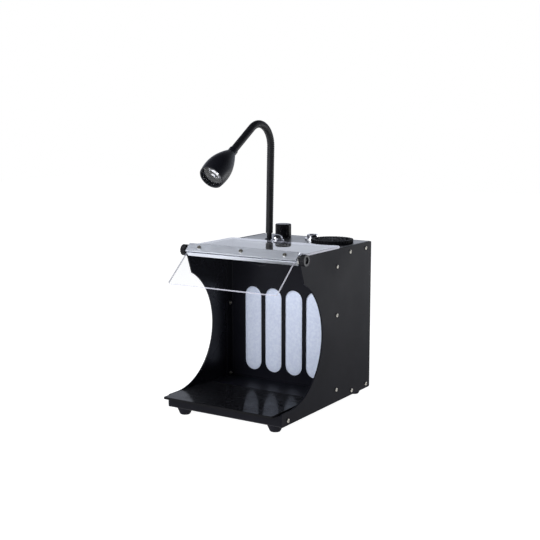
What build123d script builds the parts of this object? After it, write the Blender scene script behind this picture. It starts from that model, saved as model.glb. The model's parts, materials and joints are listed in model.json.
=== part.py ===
from build123d import *
import os
from math import cos, pi, radians, sin

# Bench filter hood: an open-fronted steel box with a slotted filter wall, a blower behind it,
# a tilting visor on the front edge and a gooseneck lamp on the roof.
# Millimetres. +X to the right, +Y to the rear, +Z up.
# The origin is under the middle of the overall box, on the surface that the feet stand on.

os.makedirs("parts", exist_ok=True)

# Driving dimensions of the body
body_width = 200.0
body_depth = 268.0
body_height = 236.0
sheet = 2.0
bend_radius = 1.0
fold_gap = 0.1
panel_corner = 2.5

# Side panel cut-out
scoop_radius = 92.6
scoop_centre_y = 21.4
front_edge_height = 19.4
kink_y = 61.0
kink_height = 196.0
roof_front_y = 45.5

# Floor and tray
lip_height = 16.0
pan_flange = 12.0
tray_thickness = 3.5
tray_width = 190.0
tray_depth = 112.0
tray_overhang = 15.0
tray_corner = 1.5
tray_side_gap = 0.6

# Slotted partition and filter
partition_y = 165.0
partition_flange = 15.0
slot_count = 4
slot_width = 31.3
slot_length = 135.2
slot_pitch = 37.5
slot_bottom = 28.5
pad_thickness = 18.0
pad_overlap = 7.0
pad_corner = 3.0
retainer_rim = 14.0
retainer_post_radius = 3.0
seat_gap = 0.3

# Roof
roof_flange = 15.0
roof_front_lap = 2.0
roof_hem = 12.0
window_thickness = 3.0
window_front_y = 66.0
window_lap = 5.0
window_corner = 8.0
window_ledge = 8.0

# Visor
pivot_y = 53.0
pivot_height = 231.5
visor_slope = 41.0
visor_width = 188.0
visor_reach = 71.0
visor_thickness = 3.0
visor_corner = 3.0
bar_depth = 15.5
bar_thickness = 7.5
bar_below_pivot = 4.0
strip_thickness = 1.5
washer_thickness = 1.2
washer_radius = 6.0
visor_screw_pitch = 75.0
knob_radius = 8.5
knob_thickness = 8.0
knob_dish_radius = 5.0
knob_dish_depth = 2.0
knob_flute_radius = 1.2
knob_flutes = 14
stud_radius = 2.0
stud_depth = 10.0
running_gap = 0.03
moving_gap = 0.3

# Fasteners
screw_radius = 1.5
screw_gap = 0.1
screw_head_radius = 2.9
screw_head_height = 1.7
screw_length = 8.0
nut_radius = 3.2
nut_thickness = 2.2
drive_radius = 1.0
drive_depth = 0.8

# Feet
foot_height = 11.0
foot_top_radius = 12.0
foot_bottom_radius = 8.0
foot_inset_x = 20.0
foot_inset_y = 15.0
foot_recess_radius = 4.2
foot_recess_depth = 6.0

# Blower
impeller_radius = 42.0
impeller_depth = 38.0
blade_count = 24
blade_length = 9.0
blade_thickness = 1.2
blade_lean = 35.0
motor_radius = 18.0
motor_depth = 19.0
motor_shaft_radius = 3.0
hub_wall = 2.0
scroll_start = 48.0
scroll_growth = 40.0
scroll_depth = 50.0
scroll_wall = 2.5
scroll_cover = 2.0
scroll_start_angle = 60.0
scroll_centre_x = 0.0
scroll_height = 112.0
blower_front_gap = 3.0
inlet_radius = 36.0
outlet_duct_width = 60.0
scroll_boss_radius = 4.0
scroll_boss_x = 36.0
scroll_boss_z = 28.0

# Exhaust cap on the roof
exhaust_x = 58.0
exhaust_radius = 33.0
exhaust_height = 6.0
exhaust_hole_radius = 22.0
exhaust_rim = 6.0
exhaust_ribs = 40
exhaust_spokes = 12
exhaust_bar = 2.2
exhaust_spoke_thickness = 2.5

# Speed control, switch and power socket
dial_x = -45.0
dial_y = 238.0
dial_radius = 13.0
dial_height = 21.0
dial_flutes = 24
dial_gap = 0.5
dial_skirt = 3.0
shaft_radius = 3.0
bush_radius = 4.5
pot_radius = 11.0
pot_depth = 9.0
board_thickness = 1.6
board_width = 64.0
board_depth = 52.0
switch_x = -24.0
switch_y = 186.5
switch_bezel_radius = 10.5
switch_bezel_height = 3.2
switch_cap_radius = 8.2
switch_cap_rise = 10.6
switch_travel = 2.5
switch_body_radius = 7.5
switch_body_depth = 22.0
switch_stem_radius = 2.5
socket_x = 13.0
socket_y = 233.0
socket_flange_radius = 12.5
socket_flange_height = 2.5
socket_barrel_radius = 9.0
socket_barrel_height = 8.5
socket_bore_radius = 6.8
socket_pin_radius = 0.8
socket_tail = 14.0
ring_nut_height = 3.0

# Gooseneck lamp
lamp_x = -44.0
lamp_foot_y = 194.0
lamp_collar_radius = 7.0
lamp_collar_height = 2.5
lamp_neck_radius = 4.0
lamp_neck_height = 11.0
arm_radius = 5.9
arm_corner_y = 200.5
arm_corner_height = 450.0
arm_bend = 35.0
arm_fall_length = 125.0
lamp_drop = 33.0
ferrule_radius = 7.0
ferrule_length = 20.0
ferrule_lap = 10.0
head_length = 60.0
head_neck_radius = 8.0
head_radius = 20.2
head_rim_radius = 18.9
head_mouth_radius = 16.8
mouth_depth = 13.5
optic_radius = 11.8
optic_depth = 12.0
lens_thickness = 1.8
led_thickness = 2.0
led_dome_radius = 2.6

# Places that follow from the driving dimensions
inner_half = body_width / 2 - sheet
fold_half = inner_half - fold_gap
front_y = -(body_depth + screw_head_height - tray_overhang) / 2
base_z = foot_height
rear_y = front_y + body_depth
roof_z = base_z + body_height
roof_under = roof_z - sheet
wall_y = front_y + partition_y
wall_back = wall_y + sheet
deck_top = base_z + lip_height
deck_under = deck_top - sheet
rear_inner = rear_y - sheet
wall_top = roof_under - bend_radius - fold_gap
wall_bottom = base_z + sheet + bend_radius + fold_gap
roof_front = wall_y - roof_front_lap
flange_screw_y = front_y + partition_y - partition_flange / 2
clear_radius = screw_radius + screw_gap


def block(low, high, mode=Mode.ADD):
    """A rectangular block between two opposite corners, in the part being built."""
    with BuildSketch(Plane.XY.offset(low[2])) as footprint:
        with Locations(((low[0] + high[0]) / 2, (low[1] + high[1]) / 2)):
            Rectangle(high[0] - low[0], high[1] - low[1])
    extrude(footprint.sketch, amount=high[2] - low[2], mode=mode)


def post(x, y, bottom, radius, height, mode=Mode.ADD):
    """A vertical cylinder whose foot is at x, y, bottom."""
    with BuildSketch(Plane((x, y, bottom))) as footprint:
        Circle(radius)
    extrude(footprint.sketch, amount=height, mode=mode)


def folded(plane, points, side, length):
    """A folded sheet: the bends' outer line on a plane, thickened inwards and extruded."""
    with BuildSketch(plane) as section:
        with BuildLine() as outline:
            FilletPolyline(*points, radius=bend_radius + sheet)
            offset(amount=sheet, side=side)
        make_face(outline.edges())
    extrude(section.sketch, amount=length)


# Side panels and their screws

side_screw_points = [
    (front_y + 17.0, base_z + pan_flange / 2 + 1.0),
    (front_y + 207.0, base_z + pan_flange / 2 + 1.0),
    (front_y + 259.0 - 4.0, base_z + pan_flange / 2 + 1.0),
    (flange_screw_y, base_z + 19.5),
    (flange_screw_y, base_z + 135.0),
    (flange_screw_y, base_z + 209.0),
    (front_y + 198.0, roof_z - roof_flange / 2 - 1.5),
    (front_y + 249.0, roof_z - roof_flange / 2 - 1.5),
]
pivot = (front_y + pivot_y, base_z + pivot_height)


def side_panel(side):
    """One side panel with its scooped front edge; side is +1 for the right, -1 for the left."""
    centre = (front_y + scoop_centre_y, base_z + scoop_radius + front_edge_height)
    inner_plane = Plane.YZ.offset(inner_half if side > 0 else -inner_half - sheet)
    kink = (front_y + kink_y, base_z + kink_height)
    reach = (kink[1] - centre[1]) / scoop_radius
    kink = (centre[0] + scoop_radius * (1 - reach**2) ** 0.5, kink[1])
    with BuildPart() as panel:
        with BuildSketch(inner_plane):
            with BuildLine():
                low = Line((front_y, base_z), (rear_y, base_z))
                back = Line(low @ 1, (rear_y, roof_z))
                top = Line(back @ 1, (front_y + roof_front_y, roof_z))
                slant = Line(top @ 1, kink)
                scoop = ThreePointArc(
                    kink,
                    (centre[0] + scoop_radius, centre[1]),
                    (centre[0], centre[1] - scoop_radius),
                )
                toe = Line(scoop @ 1, (front_y, base_z + front_edge_height))
                Line(toe @ 1, low @ 0)
            face = make_face()
            sharp = face.vertices().group_by(Axis.X)
            fillet(sharp[0] + sharp[-1], panel_corner)
        extrude(amount=sheet)
        ledge_inner = side * (inner_half - window_ledge)
        ledge_outer = side * inner_half
        block(
            (min(ledge_inner, ledge_outer), front_y + window_front_y, roof_z - sheet),
            (max(ledge_inner, ledge_outer), roof_front - fold_gap, roof_z),
        )
        with BuildSketch(inner_plane):
            with Locations(*side_screw_points):
                Circle(clear_radius)
            with Locations(pivot):
                Circle(stud_radius + moving_gap)
        extrude(amount=sheet, mode=Mode.SUBTRACT)
    return panel


right_side_panel = side_panel(1)
right_side_panel.part.label = "right_side_panel"
export_step(right_side_panel.part, "parts/right_side_panel.step")

left_side_panel = side_panel(-1)
left_side_panel.part.label = "left_side_panel"
export_step(left_side_panel.part, "parts/left_side_panel.step")


def side_hardware(side):
    """Screws with their heads outside a side panel, and the nuts behind the flanges."""
    outer_plane = Plane((side * body_width / 2, 0, 0), x_dir=(0, 1, 0), z_dir=(side, 0, 0))
    # On the left the plane's second axis points down, so heights change sign there.
    points = [(y, side * z) for y, z in side_screw_points]
    with BuildPart() as screws:
        with BuildSketch(outer_plane):
            with Locations(*points):
                Circle(screw_head_radius)
        extrude(amount=screw_head_height)
        with BuildSketch(outer_plane):
            with Locations(*points):
                Circle(screw_radius)
        extrude(amount=-screw_length)
        with BuildSketch(outer_plane.offset(screw_head_height)):
            with Locations(*points):
                RegularPolygon(drive_radius, 4)
        extrude(amount=-drive_depth, mode=Mode.SUBTRACT)
    nut_plane = outer_plane.offset(-2 * sheet - fold_gap)
    with BuildPart() as nuts:
        with BuildSketch(nut_plane):
            with Locations(*points):
                RegularPolygon(nut_radius, 6)
                Circle(clear_radius, mode=Mode.SUBTRACT)
        extrude(amount=-nut_thickness)
    return screws, nuts


right_side_screws, right_side_nuts = side_hardware(1)
right_side_screws.part.label = "right_side_screws"
export_step(right_side_screws.part, "parts/right_side_screws.step")
right_side_nuts.part.label = "right_side_nuts"
export_step(right_side_nuts.part, "parts/right_side_nuts.step")

left_side_screws, left_side_nuts = side_hardware(-1)
left_side_screws.part.label = "left_side_screws"
export_step(left_side_screws.part, "parts/left_side_screws.step")
left_side_nuts.part.label = "left_side_nuts"
export_step(left_side_nuts.part, "parts/left_side_nuts.step")

# Base pan, floor deck and loose tray

rear_screw_rows = (base_z + pan_flange / 2 + 1.0, roof_z - roof_hem / 2 - sheet)
rear_screw_columns = 3
rear_screw_pitch = body_width / 2 - foot_inset_x
rear_screw_points = [
    ((column - 1) * rear_screw_pitch, row)
    for column in range(rear_screw_columns)
    for row in rear_screw_rows
]

pan_bend_end = front_y + sheet + bend_radius

with BuildPart() as base_pan:
    folded(
        Plane.XZ.offset(-pan_bend_end),
        [
            (-fold_half, base_z + pan_flange + sheet),
            (-fold_half, base_z),
            (fold_half, base_z),
            (fold_half, base_z + pan_flange + sheet),
        ],
        Side.LEFT,
        -(rear_inner - pan_bend_end),
    )
    folded(
        Plane.YZ.offset(-fold_half),
        [(front_y, deck_top), (front_y, base_z), (pan_bend_end + fold_gap, base_z)],
        Side.LEFT,
        2 * fold_half,
    )
    folded(
        Plane.YZ.offset(-fold_half + pan_flange),
        [
            (rear_inner, base_z + pan_flange + sheet),
            (rear_inner, base_z),
            (rear_inner - pan_flange, base_z),
        ],
        Side.RIGHT,
        2 * (fold_half - pan_flange),
    )
    # The side flanges stop short of the partition's own flanges.
    for side in (-1, 1):
        block(
            (
                min(side * fold_half, side * (fold_half - 2 * sheet)),
                wall_y - partition_flange - sheet,
                base_z + sheet + bend_radius,
            ),
            (
                max(side * fold_half, side * (fold_half - 2 * sheet)),
                wall_back + sheet,
                deck_top,
            ),
            Mode.SUBTRACT,
        )
    with BuildSketch(Plane.YZ.offset(-body_width / 2)):
        with Locations(*side_screw_points[:3]):
            Circle(clear_radius)
    extrude(amount=body_width, mode=Mode.SUBTRACT)
    foot_points = [
        (x, y)
        for x in (-body_width / 2 + foot_inset_x, body_width / 2 - foot_inset_x)
        for y in (front_y + foot_inset_y, rear_y - foot_inset_y)
    ]
    with BuildSketch(Plane.XY.offset(base_z)):
        with Locations(*foot_points):
            Circle(clear_radius)
    extrude(amount=sheet, mode=Mode.SUBTRACT)
    with BuildSketch(Plane.XZ.offset(-rear_y)):
        with Locations(*rear_screw_points):
            Circle(clear_radius)
    extrude(amount=2 * sheet + fold_gap, mode=Mode.SUBTRACT)
base_pan.part.label = "base_pan"
export_step(base_pan.part, "parts/base_pan.step")

with BuildPart() as floor_deck:
    deck_front = front_y + sheet + fold_gap
    deck_rear = wall_y - fold_gap
    block((-fold_half, deck_front, deck_under), (fold_half, deck_rear, deck_top))
    for side in (-1, 1):
        block(
            (
                min(side * fold_half, side * (fold_half - sheet - bend_radius - fold_gap)),
                wall_y - partition_flange - fold_gap,
                deck_under,
            ),
            (
                max(side * fold_half, side * (fold_half - sheet - bend_radius - fold_gap)),
                wall_y,
                deck_top,
            ),
            Mode.SUBTRACT,
        )
floor_deck.part.label = "floor_deck"
export_step(floor_deck.part, "parts/floor_deck.step")

with BuildPart() as tray_plate:
    tray_left = -inner_half + tray_side_gap
    tray_front = front_y - tray_overhang
    with BuildSketch(Plane.XY.offset(deck_top)):
        with Locations((tray_left + tray_width / 2, tray_front + tray_depth / 2)):
            RectangleRounded(tray_width, tray_depth, tray_corner)
    extrude(amount=tray_thickness)
    chamfer(tray_plate.faces().sort_by(Axis.Z)[-1].edges(), 0.4)
tray_plate.part.label = "tray_plate"
export_step(tray_plate.part, "parts/tray_plate.step")

# Slotted partition, filter pad and its retainer

slot_height = base_z + slot_bottom + slot_length / 2

with BuildPart() as slotted_partition:
    folded(
        Plane.XY.offset(wall_bottom),
        [
            (-fold_half, wall_y - partition_flange),
            (-fold_half, wall_back),
            (fold_half, wall_back),
            (fold_half, wall_y - partition_flange),
        ],
        Side.RIGHT,
        wall_top - wall_bottom,
    )
    with BuildSketch(Plane.XZ.offset(-wall_back)):
        with Locations((0, slot_height)):
            with GridLocations(slot_pitch, 0, slot_count, 1):
                SlotOverall(slot_length, slot_width, rotation=90)
    extrude(amount=sheet, mode=Mode.SUBTRACT)
    with BuildSketch(Plane.YZ.offset(-body_width / 2)):
        with Locations(*side_screw_points[3:6]):
            Circle(clear_radius)
    extrude(amount=body_width, mode=Mode.SUBTRACT)
slotted_partition.part.label = "slotted_partition"
export_step(slotted_partition.part, "parts/slotted_partition.step")

pad_width = (slot_count - 1) * slot_pitch + slot_width + 2 * pad_overlap
pad_height = slot_length + 2 * pad_overlap
pad_front = wall_back + seat_gap

with BuildPart() as filter_pad:
    with BuildSketch(Plane.XZ.offset(-pad_front)):
        with Locations((0, slot_height)):
            RectangleRounded(pad_width, pad_height, pad_corner)
    extrude(amount=-pad_thickness)
filter_pad.part.label = "filter_pad"
export_step(filter_pad.part, "parts/filter_pad.step")

retainer_front = pad_front + pad_thickness + seat_gap
retainer_back = retainer_front + sheet

with BuildPart() as filter_retainer:
    post_offset = retainer_post_radius + seat_gap
    frame_width = pad_width + 2 * (post_offset + retainer_post_radius)
    with BuildSketch(Plane.XZ.offset(-retainer_front)):
        with Locations((0, slot_height)):
            RectangleRounded(frame_width, pad_height, pad_corner)
            Rectangle(
                pad_width - 2 * retainer_rim,
                pad_height - 2 * retainer_rim,
                mode=Mode.SUBTRACT,
            )
            Rectangle(pad_width - 2 * retainer_rim, retainer_rim / 2)
    extrude(amount=-sheet)
    with BuildSketch(Plane.XZ.offset(-wall_back)):
        with Locations((0, slot_height)):
            with GridLocations(
                pad_width + 2 * post_offset,
                pad_height - 2 * retainer_rim,
                2,
                2,
            ):
                Circle(retainer_post_radius)
    extrude(amount=-(retainer_back - wall_back))
filter_retainer.part.label = "filter_retainer"
export_step(filter_retainer.part, "parts/filter_retainer.step")

# Rear panel and roof

with BuildPart() as rear_panel:
    with BuildSketch(Plane.XZ.offset(-rear_inner)):
        with Locations((0, (base_z + roof_z) / 2)):
            RectangleRounded(2 * fold_half, body_height - 2 * fold_gap, panel_corner)
        with Locations(*rear_screw_points):
            Circle(clear_radius, mode=Mode.SUBTRACT)
    extrude(amount=-sheet)
rear_panel.part.label = "rear_panel"
export_step(rear_panel.part, "parts/rear_panel.step")

with BuildPart() as rear_screws:
    with BuildSketch(Plane.XZ.offset(-rear_y)):
        with Locations(*rear_screw_points):
            Circle(screw_head_radius)
    extrude(amount=-screw_head_height)
    with BuildSketch(Plane.XZ.offset(-rear_y)):
        with Locations(*rear_screw_points):
            Circle(screw_radius)
    extrude(amount=2 * sheet + nut_thickness)
    with BuildSketch(Plane.XZ.offset(-rear_y - screw_head_height)):
        with Locations(*rear_screw_points):
            RegularPolygon(drive_radius, 4)
    extrude(amount=drive_depth, mode=Mode.SUBTRACT)
rear_screws.part.label = "rear_screws"
export_step(rear_screws.part, "parts/rear_screws.step")

blower_front = retainer_back + blower_front_gap
scroll_back = blower_front + scroll_cover + scroll_depth
exhaust_y = blower_front + scroll_cover + (scroll_depth - scroll_wall) / 2
dial = (dial_x, front_y + dial_y)
switch = (switch_x, front_y + switch_y)
socket = (socket_x, front_y + socket_y)
lamp_foot = (lamp_x, front_y + lamp_foot_y)

with BuildPart() as roof_plate:
    folded(
        Plane.XZ.offset(-wall_back - sheet),
        [
            (-fold_half, roof_z - roof_flange),
            (-fold_half, roof_z),
            (fold_half, roof_z),
            (fold_half, roof_z - roof_flange),
        ],
        Side.RIGHT,
        -(rear_inner - wall_back - sheet),
    )
    lap_half = fold_half - sheet - 2 * bend_radius
    folded(
        Plane.YZ.offset(-lap_half),
        [
            (roof_front, roof_z - roof_hem),
            (roof_front, roof_z),
            (wall_back + roof_hem, roof_z),
        ],
        Side.RIGHT,
        2 * lap_half,
    )
    folded(
        Plane.YZ.offset(-lap_half),
        [
            (rear_inner, roof_z - roof_hem),
            (rear_inner, roof_z),
            (rear_inner - roof_hem, roof_z),
        ],
        Side.LEFT,
        2 * lap_half,
    )
    with BuildSketch(Plane.YZ.offset(-body_width / 2)):
        with Locations(*side_screw_points[6:]):
            Circle(clear_radius)
    extrude(amount=body_width, mode=Mode.SUBTRACT)
    with BuildSketch(Plane.XZ.offset(-rear_y)):
        with Locations(*rear_screw_points):
            Circle(clear_radius)
    extrude(amount=2 * sheet + fold_gap, mode=Mode.SUBTRACT)
    roof_holes = [
        (exhaust_x, exhaust_y, exhaust_hole_radius),
        (*dial, bush_radius + screw_gap),
        (*switch, switch_body_radius + screw_gap),
        (*socket, socket_barrel_radius + screw_gap),
        (*lamp_foot, lamp_neck_radius + screw_gap),
    ]
    for hole_x, hole_y, hole_radius in roof_holes:
        post(hole_x, hole_y, roof_under, hole_radius, sheet, Mode.SUBTRACT)
roof_plate.part.label = "roof_plate"
export_step(roof_plate.part, "parts/roof_plate.step")

with BuildPart() as roof_window:
    window_front = front_y + window_front_y
    window_rear = wall_y + window_lap
    with BuildSketch(Plane.XY.offset(roof_z)):
        with Locations((0, (window_front + window_rear) / 2)):
            outline = Rectangle(body_width, window_rear - window_front)
        fillet(outline.vertices().group_by(Axis.Y)[-1], window_corner)
        fillet(outline.vertices().group_by(Axis.Y)[0], visor_corner)
    extrude(amount=window_thickness)
    chamfer(roof_window.faces().sort_by(Axis.Z)[-1].edges(), 0.3)
roof_window.part.label = "roof_window"
export_step(roof_window.part, "parts/roof_window.step")

# Visor: its plane passes through the pivot line; local -Y runs down the pane, +Z faces up and out

slope = radians(visor_slope)
visor_plane = Plane(
    origin=(0, *pivot),
    x_dir=(1, 0, 0),
    z_dir=(0, -sin(slope), cos(slope)),
)
bar_length = 2 * (inner_half - seat_gap - washer_thickness)
bar_top = bar_thickness - bar_below_pivot
pane_top = bar_top + visor_thickness
strip_top = pane_top + strip_thickness
visor_screw_places = [(-visor_screw_pitch, 0), (0, 0), (visor_screw_pitch, 0)]

with BuildPart() as visor_bar:
    with BuildSketch(visor_plane.offset(-bar_below_pivot)):
        Rectangle(bar_length, bar_depth)
    extrude(amount=bar_thickness)
    fillet(visor_bar.edges().filter_by(Axis.X), 0.8)
    with BuildSketch(visor_plane.offset(bar_top)):
        with Locations(*visor_screw_places):
            Circle(screw_radius - 2 * screw_gap)
    extrude(amount=-bar_below_pivot, mode=Mode.SUBTRACT)
    with BuildSketch(Plane.YZ.offset(-bar_length / 2)):
        with Locations(pivot):
            Circle(stud_radius + running_gap)
    extrude(amount=stud_depth + seat_gap, mode=Mode.SUBTRACT)
    with BuildSketch(Plane.YZ.offset(bar_length / 2)):
        with Locations(pivot):
            Circle(stud_radius + running_gap)
    extrude(amount=-stud_depth - seat_gap, mode=Mode.SUBTRACT)
visor_bar.part.label = "visor_bar"
export_step(visor_bar.part, "parts/visor_bar.step")

with BuildPart() as visor_pane:
    with BuildSketch(visor_plane.offset(bar_top)):
        with Locations((0, (bar_depth / 2 - visor_reach) / 2)):
            outline = Rectangle(visor_width, bar_depth / 2 + visor_reach)
        lower = outline.vertices().filter_by(lambda v: abs(v.Y) > bar_depth)
        fillet(lower, visor_corner)
        with Locations(*visor_screw_places):
            Circle(clear_radius, mode=Mode.SUBTRACT)
    extrude(amount=visor_thickness)
visor_pane.part.label = "visor_pane"
export_step(visor_pane.part, "parts/visor_pane.step")

with BuildPart() as visor_strip:
    with BuildSketch(visor_plane.offset(pane_top)):
        Rectangle(bar_length, bar_depth)
        with Locations(*visor_screw_places):
            Circle(clear_radius, mode=Mode.SUBTRACT)
    extrude(amount=strip_thickness)
visor_strip.part.label = "visor_strip"
export_step(visor_strip.part, "parts/visor_strip.step")

with BuildPart() as visor_screws:
    with BuildSketch(visor_plane.offset(strip_top)):
        with Locations(*visor_screw_places):
            Circle(screw_head_radius)
    extrude(amount=screw_head_height)
    with BuildSketch(visor_plane.offset(strip_top)):
        with Locations(*visor_screw_places):
            Circle(screw_radius - 2 * screw_gap - running_gap)
    extrude(amount=-(strip_thickness + visor_thickness + bar_below_pivot - 1.0))
    with BuildSketch(visor_plane.offset(strip_top + screw_head_height)):
        with Locations(*visor_screw_places):
            RegularPolygon(drive_radius, 4)
    extrude(amount=-drive_depth, mode=Mode.SUBTRACT)
visor_screws.part.label = "visor_screws"
export_step(visor_screws.part, "parts/visor_screws.step")

with BuildPart() as visor_washers:
    for start in (-bar_length / 2 - washer_thickness, bar_length / 2):
        with BuildSketch(Plane.YZ.offset(start)):
            with Locations(pivot):
                Circle(washer_radius)
                Circle(stud_radius + moving_gap, mode=Mode.SUBTRACT)
        extrude(amount=washer_thickness)
visor_washers.part.label = "visor_washers"
export_step(visor_washers.part, "parts/visor_washers.step")


def visor_knob(side):
    """A clamping knob with its stud, outside one side panel."""
    face_plane = Plane(
        (side * (body_width / 2 + seat_gap), *pivot),
        x_dir=(0, 1, 0),
        z_dir=(side, 0, 0),
    )
    with BuildPart() as knob:
        with BuildSketch(face_plane):
            Circle(knob_radius)
            with PolarLocations(knob_radius + knob_flute_radius / 2, knob_flutes):
                Circle(knob_flute_radius, mode=Mode.SUBTRACT)
        extrude(amount=knob_thickness)
        with BuildSketch(face_plane.offset(knob_thickness)):
            Circle(knob_dish_radius)
        extrude(amount=-knob_dish_depth, taper=20, mode=Mode.SUBTRACT)
        with BuildSketch(face_plane):
            Circle(stud_radius)
        extrude(amount=-(sheet + 2 * seat_gap + washer_thickness + stud_depth))
    return knob


visor_knob_right = visor_knob(1)
visor_knob_right.part.label = "visor_knob_right"
export_step(visor_knob_right.part, "parts/visor_knob_right.step")

visor_knob_left = visor_knob(-1)
visor_knob_left.part.label = "visor_knob_left"
export_step(visor_knob_left.part, "parts/visor_knob_left.step")

# Feet


def foot(x, y):
    """A tapered rubber foot with a recess for its screw."""
    with BuildPart() as rubber:
        with BuildSketch(Plane.XZ.offset(-y)) as section:
            with BuildLine():
                Polyline(
                    (x, 0),
                    (x + foot_bottom_radius - 1.0, 0),
                    (x + foot_bottom_radius, 1.0),
                    (x + foot_top_radius, foot_height - 1.0),
                    (x + foot_top_radius, foot_height),
                    (x, foot_height),
                    (x, 0),
                )
            make_face()
        revolve(section.sketch, axis=Axis((x, y, 0), (0, 0, 1)))
        post(x, y, 0, foot_recess_radius, foot_recess_depth, Mode.SUBTRACT)
        post(x, y, foot_recess_depth, clear_radius, foot_height, Mode.SUBTRACT)
    return rubber


foot_names = ["foot_front_left", "foot_rear_left", "foot_front_right", "foot_rear_right"]
for foot_name, (foot_x, foot_y) in zip(foot_names, foot_points):
    rubber_foot = foot(foot_x, foot_y)
    rubber_foot.part.label = foot_name
    export_step(rubber_foot.part, f"parts/{foot_name}.step")

with BuildPart() as foot_screws:
    screw_head_z = foot_recess_depth - screw_head_height
    with BuildSketch(Plane.XY.offset(screw_head_z)):
        with Locations(*foot_points):
            Circle(screw_head_radius)
    extrude(amount=screw_head_height)
    with BuildSketch(Plane.XY.offset(foot_recess_depth)):
        with Locations(*foot_points):
            Circle(screw_radius)
    extrude(amount=screw_length + 1.0)
    with BuildSketch(Plane.XY.offset(screw_head_z)):
        with Locations(*foot_points):
            RegularPolygon(drive_radius, 4)
    extrude(amount=drive_depth, mode=Mode.SUBTRACT)
foot_screws.part.label = "foot_screws"
export_step(foot_screws.part, "parts/foot_screws.step")

# Blower: a scroll housing whose outlet rises to the exhaust hole, with a forward-curved wheel

scroll_centre = (scroll_centre_x, base_z + scroll_height)
duct_right = exhaust_x + outlet_duct_width / 2
duct_left = exhaust_x - outlet_duct_width / 2
scroll_top = roof_under - seat_gap


def scroll_outline(inset):
    """The scroll's outline, drawn on the XZ plane and moved inwards by inset."""
    steps = 9
    spiral = []
    for step in range(steps + 1):
        share = step / steps
        angle = radians(scroll_start_angle + share * (360 - scroll_start_angle))
        reach = scroll_start + share * scroll_growth - inset
        spiral.append(
            (scroll_centre[0] + reach * cos(angle), scroll_centre[1] + reach * sin(angle))
        )
    with BuildLine(Plane.XZ) as outline:
        curve = Spline(*spiral)
        right = Line(curve @ 1, (spiral[-1][0], scroll_top))
        head = Line(right @ 1, (duct_left + inset, scroll_top))
        cut_off = Line(head @ 1, (duct_left + inset, scroll_centre[1] + scroll_start))
        Line(cut_off @ 1, curve @ 0)
    return outline


with BuildPart() as blower_housing:
    with BuildSketch(Plane.XZ.offset(-blower_front - scroll_cover)):
        make_face(scroll_outline(0).edges())
    extrude(amount=-scroll_depth)
    with BuildSketch(Plane.XZ.offset(-blower_front - scroll_cover)):
        make_face(scroll_outline(scroll_wall).edges())
    extrude(amount=-(scroll_depth - scroll_wall), mode=Mode.SUBTRACT)
    with BuildSketch(Plane.XZ.offset(-scroll_back)):
        with Locations(scroll_centre):
            with GridLocations(2 * scroll_boss_x, 2 * scroll_boss_z, 2, 2):
                Circle(scroll_boss_radius)
    extrude(amount=-(rear_inner - scroll_back))
    with BuildSketch(Plane.XZ.offset(-scroll_back)):
        with Locations(scroll_centre):
            Circle(motor_shaft_radius)
    extrude(amount=scroll_wall, mode=Mode.SUBTRACT)
blower_housing.part.label = "blower_housing"
export_step(blower_housing.part, "parts/blower_housing.step")

with BuildPart() as blower_cover:
    with BuildSketch(Plane.XZ.offset(-blower_front)):
        make_face(scroll_outline(0).edges())
        with Locations(scroll_centre):
            Circle(inlet_radius, mode=Mode.SUBTRACT)
    extrude(amount=-scroll_cover)
blower_cover.part.label = "blower_cover"
export_step(blower_cover.part, "parts/blower_cover.step")

motor_back = scroll_back - scroll_wall
motor_front = motor_back - motor_depth
wheel_back = motor_back - scroll_cover
wheel_front = wheel_back - impeller_depth

with BuildPart() as blower_motor:
    with BuildSketch(Plane.XZ.offset(-motor_back)):
        with Locations(scroll_centre):
            Circle(motor_radius)
    extrude(amount=motor_depth)
    chamfer(blower_motor.faces().sort_by(Axis.Y)[0].edges(), 1.0)
    with BuildSketch(Plane.XZ.offset(-motor_front)):
        with Locations(scroll_centre):
            Circle(motor_shaft_radius)
    extrude(amount=motor_depth / 2)
blower_motor.part.label = "blower_motor"
export_step(blower_motor.part, "parts/blower_motor.step")

with BuildPart() as blower_impeller:
    cup_radius = motor_radius + moving_gap + hub_wall
    cup_front = motor_front - 2 * moving_gap - hub_wall
    with BuildSketch(Plane.XZ.offset(-wheel_back)):
        with Locations(scroll_centre):
            Circle(impeller_radius)
            Circle(cup_radius - hub_wall, mode=Mode.SUBTRACT)
    extrude(amount=hub_wall)
    with BuildSketch(Plane.XZ.offset(-wheel_back)):
        with Locations(scroll_centre):
            Circle(cup_radius)
            Circle(cup_radius - hub_wall, mode=Mode.SUBTRACT)
    extrude(amount=wheel_back - cup_front)
    with BuildSketch(Plane.XZ.offset(-cup_front)):
        with Locations(scroll_centre):
            Circle(cup_radius)
            Circle(motor_shaft_radius + running_gap, mode=Mode.SUBTRACT)
    extrude(amount=-hub_wall)
    with BuildSketch(Plane.XZ.offset(-cup_front)):
        with Locations(scroll_centre):
            Circle(2 * motor_shaft_radius)
            Circle(motor_shaft_radius + running_gap, mode=Mode.SUBTRACT)
    extrude(amount=hub_wall)
    blade_ring = impeller_radius - blade_length / 2
    with BuildSketch(Plane.XZ.offset(-wheel_back)):
        with Locations(scroll_centre):
            with PolarLocations(blade_ring, blade_count):
                Rectangle(blade_length, blade_thickness, rotation=blade_lean)
    extrude(amount=impeller_depth)
    with BuildSketch(Plane.XZ.offset(-wheel_front)):
        with Locations(scroll_centre):
            Circle(impeller_radius)
            Circle(impeller_radius - blade_length / 2, mode=Mode.SUBTRACT)
    extrude(amount=-hub_wall)
blower_impeller.part.label = "blower_impeller"
export_step(blower_impeller.part, "parts/blower_impeller.step")

# Exhaust cap

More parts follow.
